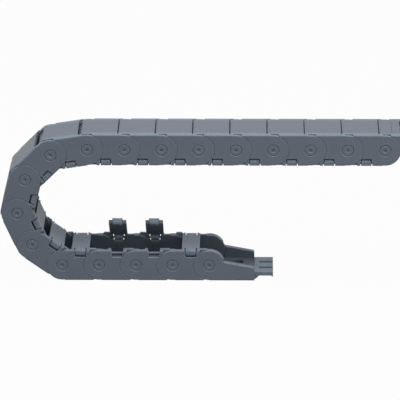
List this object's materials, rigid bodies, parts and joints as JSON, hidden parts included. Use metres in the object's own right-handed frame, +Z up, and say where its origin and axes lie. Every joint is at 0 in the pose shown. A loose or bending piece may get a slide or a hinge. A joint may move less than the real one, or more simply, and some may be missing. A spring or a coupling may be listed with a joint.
{
  "type": "cable drag chain",
  "caption": "Cable drag chain of hinged U links with swing-open crossbars, laid out as a loop between two end brackets with strain-relief combs.",
  "frame": {"origin": "centre of the fixed end bracket's two screw holes, on its underside", "axes": "+X along the runs, away from the loop; +Y across the chain; +Z up, from the fixed bracket's base"},
  "size_m": [0.3695, 0.0399, 0.1298],
  "materials": {
    "link_plastic": "fine moulded texture, dark blue grey",
    "crossbar_plastic": "fine moulded texture, blue grey",
    "relief_plastic": "fine moulded texture, blue grey"
  },
  "bodies": {
    "fixed_end": {"fixed_end_bracket": "link_plastic", "fixed_strain_relief": "relief_plastic"},
    "link_01": {"link_01": "link_plastic"},
    "link_02": {"link_02": "link_plastic"},
    "link_03": {"link_03": "link_plastic"},
    "link_04": {"link_04": "link_plastic"},
    "link_05": {"link_05": "link_plastic"},
    "link_06": {"link_06": "link_plastic"},
    "link_07": {"link_07": "link_plastic"},
    "link_08": {"link_08": "link_plastic"},
    "link_09": {"link_09": "link_plastic"},
    "link_10": {"link_10": "link_plastic"},
    "link_11": {"link_11": "link_plastic"},
    "link_12": {"link_12": "link_plastic"},
    "link_13": {"link_13": "link_plastic"},
    "link_14": {"link_14": "link_plastic"},
    "link_15": {"link_15": "link_plastic"},
    "link_16": {"link_16": "link_plastic"},
    "link_17": {"link_17": "link_plastic"},
    "crossbar_01": {"crossbar_01": "crossbar_plastic"},
    "crossbar_02": {"crossbar_02": "crossbar_plastic"},
    "crossbar_03": {"crossbar_03": "crossbar_plastic"},
    "crossbar_04": {"crossbar_04": "crossbar_plastic"},
    "crossbar_05": {"crossbar_05": "crossbar_plastic"},
    "crossbar_06": {"crossbar_06": "crossbar_plastic"},
    "crossbar_07": {"crossbar_07": "crossbar_plastic"},
    "crossbar_08": {"crossbar_08": "crossbar_plastic"},
    "crossbar_09": {"crossbar_09": "crossbar_plastic"},
    "crossbar_10": {"crossbar_10": "crossbar_plastic"},
    "crossbar_11": {"crossbar_11": "crossbar_plastic"},
    "crossbar_12": {"crossbar_12": "crossbar_plastic"},
    "crossbar_13": {"crossbar_13": "crossbar_plastic"},
    "crossbar_14": {"crossbar_14": "crossbar_plastic"},
    "crossbar_15": {"crossbar_15": "crossbar_plastic"},
    "crossbar_16": {"crossbar_16": "crossbar_plastic"},
    "crossbar_17": {"crossbar_17": "crossbar_plastic"},
    "moving_end": {"moving_end_bracket": "link_plastic", "moving_strain_relief": "relief_plastic"}
  },
  "joints": [
    {"name": "bend_01", "type": "hinge", "parent": "fixed_end", "child": "link_01", "pos_m": [-0.024, 0, 0.0137], "axis": [0, -1, 0], "range_deg": [-36.5, 0]},
    {"name": "bend_02", "type": "hinge", "parent": "link_01", "child": "link_02", "pos_m": [-0.0545, 0, 0.0137], "axis": [0, 1, 0], "range_deg": [0, 36.5]},
    {"name": "bend_03", "type": "hinge", "parent": "link_02", "child": "link_03", "pos_m": [-0.085, 0, 0.0137], "axis": [0, -1, 0], "range_deg": [-24, 0]},
    {"name": "bend_04", "type": "hinge", "parent": "link_03", "child": "link_04", "pos_m": [-0.1155, 0, 0.0137], "axis": [0, 1, 0], "range_deg": [0, 36.5]},
    {"name": "bend_05", "type": "hinge", "parent": "link_04", "child": "link_05", "pos_m": [-0.146, 0, 0.0137], "axis": [0, -1, 0], "range_deg": [0, 36.5]},
    {"name": "bend_06", "type": "hinge", "parent": "link_05", "child": "link_06", "pos_m": [-0.17052, 0, 0.03184], "axis": [0, 1, 0], "range_deg": [-30.5, 6]},
    {"name": "bend_07", "type": "hinge", "parent": "link_06", "child": "link_07", "pos_m": [-0.18243, 0, 0.05992], "axis": [0, -1, 0], "range_deg": [0, 36.5]},
    {"name": "bend_08", "type": "hinge", "parent": "link_07", "child": "link_08", "pos_m": [-0.17531, 0, 0.08957], "axis": [0, -1, 0], "range_deg": [-5.5, 31]},
    {"name": "bend_09", "type": "hinge", "parent": "link_08", "child": "link_09", "pos_m": [-0.15394, 0, 0.11133], "axis": [0, -1, 0], "range_deg": [0, 36.5]},
    {"name": "bend_10", "type": "hinge", "parent": "link_09", "child": "link_10", "pos_m": [-0.12381, 0, 0.1161], "axis": [0, 1, 0], "range_deg": [-9, 27.5]},
    {"name": "bend_11", "type": "hinge", "parent": "link_10", "child": "link_11", "pos_m": [-0.09331, 0, 0.1161], "axis": [0, 1, 0], "range_deg": [0, 36.5]},
    {"name": "bend_12", "type": "hinge", "parent": "link_11", "child": "link_12", "pos_m": [-0.06281, 0, 0.1161], "axis": [0, -1, 0], "range_deg": [-36.5, 0]},
    {"name": "bend_13", "type": "hinge", "parent": "link_12", "child": "link_13", "pos_m": [-0.03231, 0, 0.1161], "axis": [0, 1, 0], "range_deg": [0, 36.5]},
    {"name": "bend_14", "type": "hinge", "parent": "link_13", "child": "link_14", "pos_m": [-0.00181, 0, 0.1161], "axis": [0, 1, 0], "range_deg": [0, 36.5]},
    {"name": "bend_15", "type": "hinge", "parent": "link_14", "child": "link_15", "pos_m": [0.02869, 0, 0.1161], "axis": [0, -1, 0], "range_deg": [-36.5, 0]},
    {"name": "bend_16", "type": "hinge", "parent": "link_15", "child": "link_16", "pos_m": [0.05919, 0, 0.1161], "axis": [0, 1, 0], "range_deg": [0, 36.5]},
    {"name": "bend_17", "type": "hinge", "parent": "link_16", "child": "link_17", "pos_m": [0.08969, 0, 0.1161], "axis": [0, -1, 0], "range_deg": [-36.5, 0]},
    {"name": "bend_18", "type": "hinge", "parent": "link_17", "child": "moving_end", "pos_m": [0.12019, 0, 0.1161], "axis": [0, 1, 0], "range_deg": [0, 36.5]},
    {"name": "crossbar_hinge_01", "type": "hinge", "parent": "link_01", "child": "crossbar_01", "pos_m": [-0.03925, 0.017, 0.0241], "axis": [-1, 0, 0], "range_deg": [0, 110]},
    {"name": "crossbar_hinge_02", "type": "hinge", "parent": "link_02", "child": "crossbar_02", "pos_m": [-0.06975, 0.017, 0.0241], "axis": [1, 0, 0], "range_deg": [-66.5, 43.5]},
    {"name": "crossbar_hinge_03", "type": "hinge", "parent": "link_03", "child": "crossbar_03", "pos_m": [-0.10025, 0.017, 0.0241], "axis": [-1, 0, 0], "range_deg": [-43.5, 66.5]},
    {"name": "crossbar_hinge_04", "type": "hinge", "parent": "link_04", "child": "crossbar_04", "pos_m": [-0.13075, 0.017, 0.0241], "axis": [1, 0, 0], "range_deg": [-110, 0]},
    {"name": "crossbar_hinge_05", "type": "hinge", "parent": "link_05", "child": "crossbar_05", "pos_m": [-0.15207, 0.017, 0.03113], "axis": [-0.8039, 0, 0.5948], "range_deg": [0, 110]},
    {"name": "crossbar_hinge_06", "type": "hinge", "parent": "link_06", "child": "crossbar_06", "pos_m": [-0.1669, 0.017, 0.04994], "axis": [0.3907, 0, -0.9205], "range_deg": [-110, 0]},
    {"name": "crossbar_hinge_07", "type": "hinge", "parent": "link_07", "child": "crossbar_07", "pos_m": [-0.16876, 0.017, 0.07232], "axis": [0.2334, 0, 0.9724], "range_deg": [0, 110]},
    {"name": "crossbar_hinge_08", "type": "hinge", "parent": "link_08", "child": "crossbar_08", "pos_m": [-0.15721, 0.017, 0.09316], "axis": [0.7009, 0, 0.7133], "range_deg": [0, 110]},
    {"name": "crossbar_hinge_09", "type": "hinge", "parent": "link_09", "child": "crossbar_09", "pos_m": [-0.13725, 0.017, 0.10344], "axis": [0.9877, 0, 0.1564], "range_deg": [0, 110]},
    {"name": "crossbar_hinge_10", "type": "hinge", "parent": "link_10", "child": "crossbar_10", "pos_m": [-0.10856, 0.017, 0.1057], "axis": [-1, 0, 0], "range_deg": [-110, 0]},
    {"name": "crossbar_hinge_11", "type": "hinge", "parent": "link_11", "child": "crossbar_11", "pos_m": [-0.07806, 0.017, 0.1057], "axis": [-1, 0, 0], "range_deg": [-110, 0]},
    {"name": "crossbar_hinge_12", "type": "hinge", "parent": "link_12", "child": "crossbar_12", "pos_m": [-0.04756, 0.017, 0.1057], "axis": [1, 0, 0], "range_deg": [0, 110]},
    {"name": "crossbar_hinge_13", "type": "hinge", "parent": "link_13", "child": "crossbar_13", "pos_m": [-0.01706, 0.017, 0.1057], "axis": [-1, 0, 0], "range_deg": [-110, 0]},
    {"name": "crossbar_hinge_14", "type": "hinge", "parent": "link_14", "child": "crossbar_14", "pos_m": [0.01344, 0.017, 0.1057], "axis": [-1, 0, 0], "range_deg": [-110, 0]},
    {"name": "crossbar_hinge_15", "type": "hinge", "parent": "link_15", "child": "crossbar_15", "pos_m": [0.04394, 0.017, 0.1057], "axis": [1, 0, 0], "range_deg": [0, 110]},
    {"name": "crossbar_hinge_16", "type": "hinge", "parent": "link_16", "child": "crossbar_16", "pos_m": [0.07444, 0.017, 0.1057], "axis": [-1, 0, 0], "range_deg": [-110, 0]},
    {"name": "crossbar_hinge_17", "type": "hinge", "parent": "link_17", "child": "crossbar_17", "pos_m": [0.10494, 0.017, 0.1057], "axis": [1, 0, 0], "range_deg": [0, 110]}
  ]
}
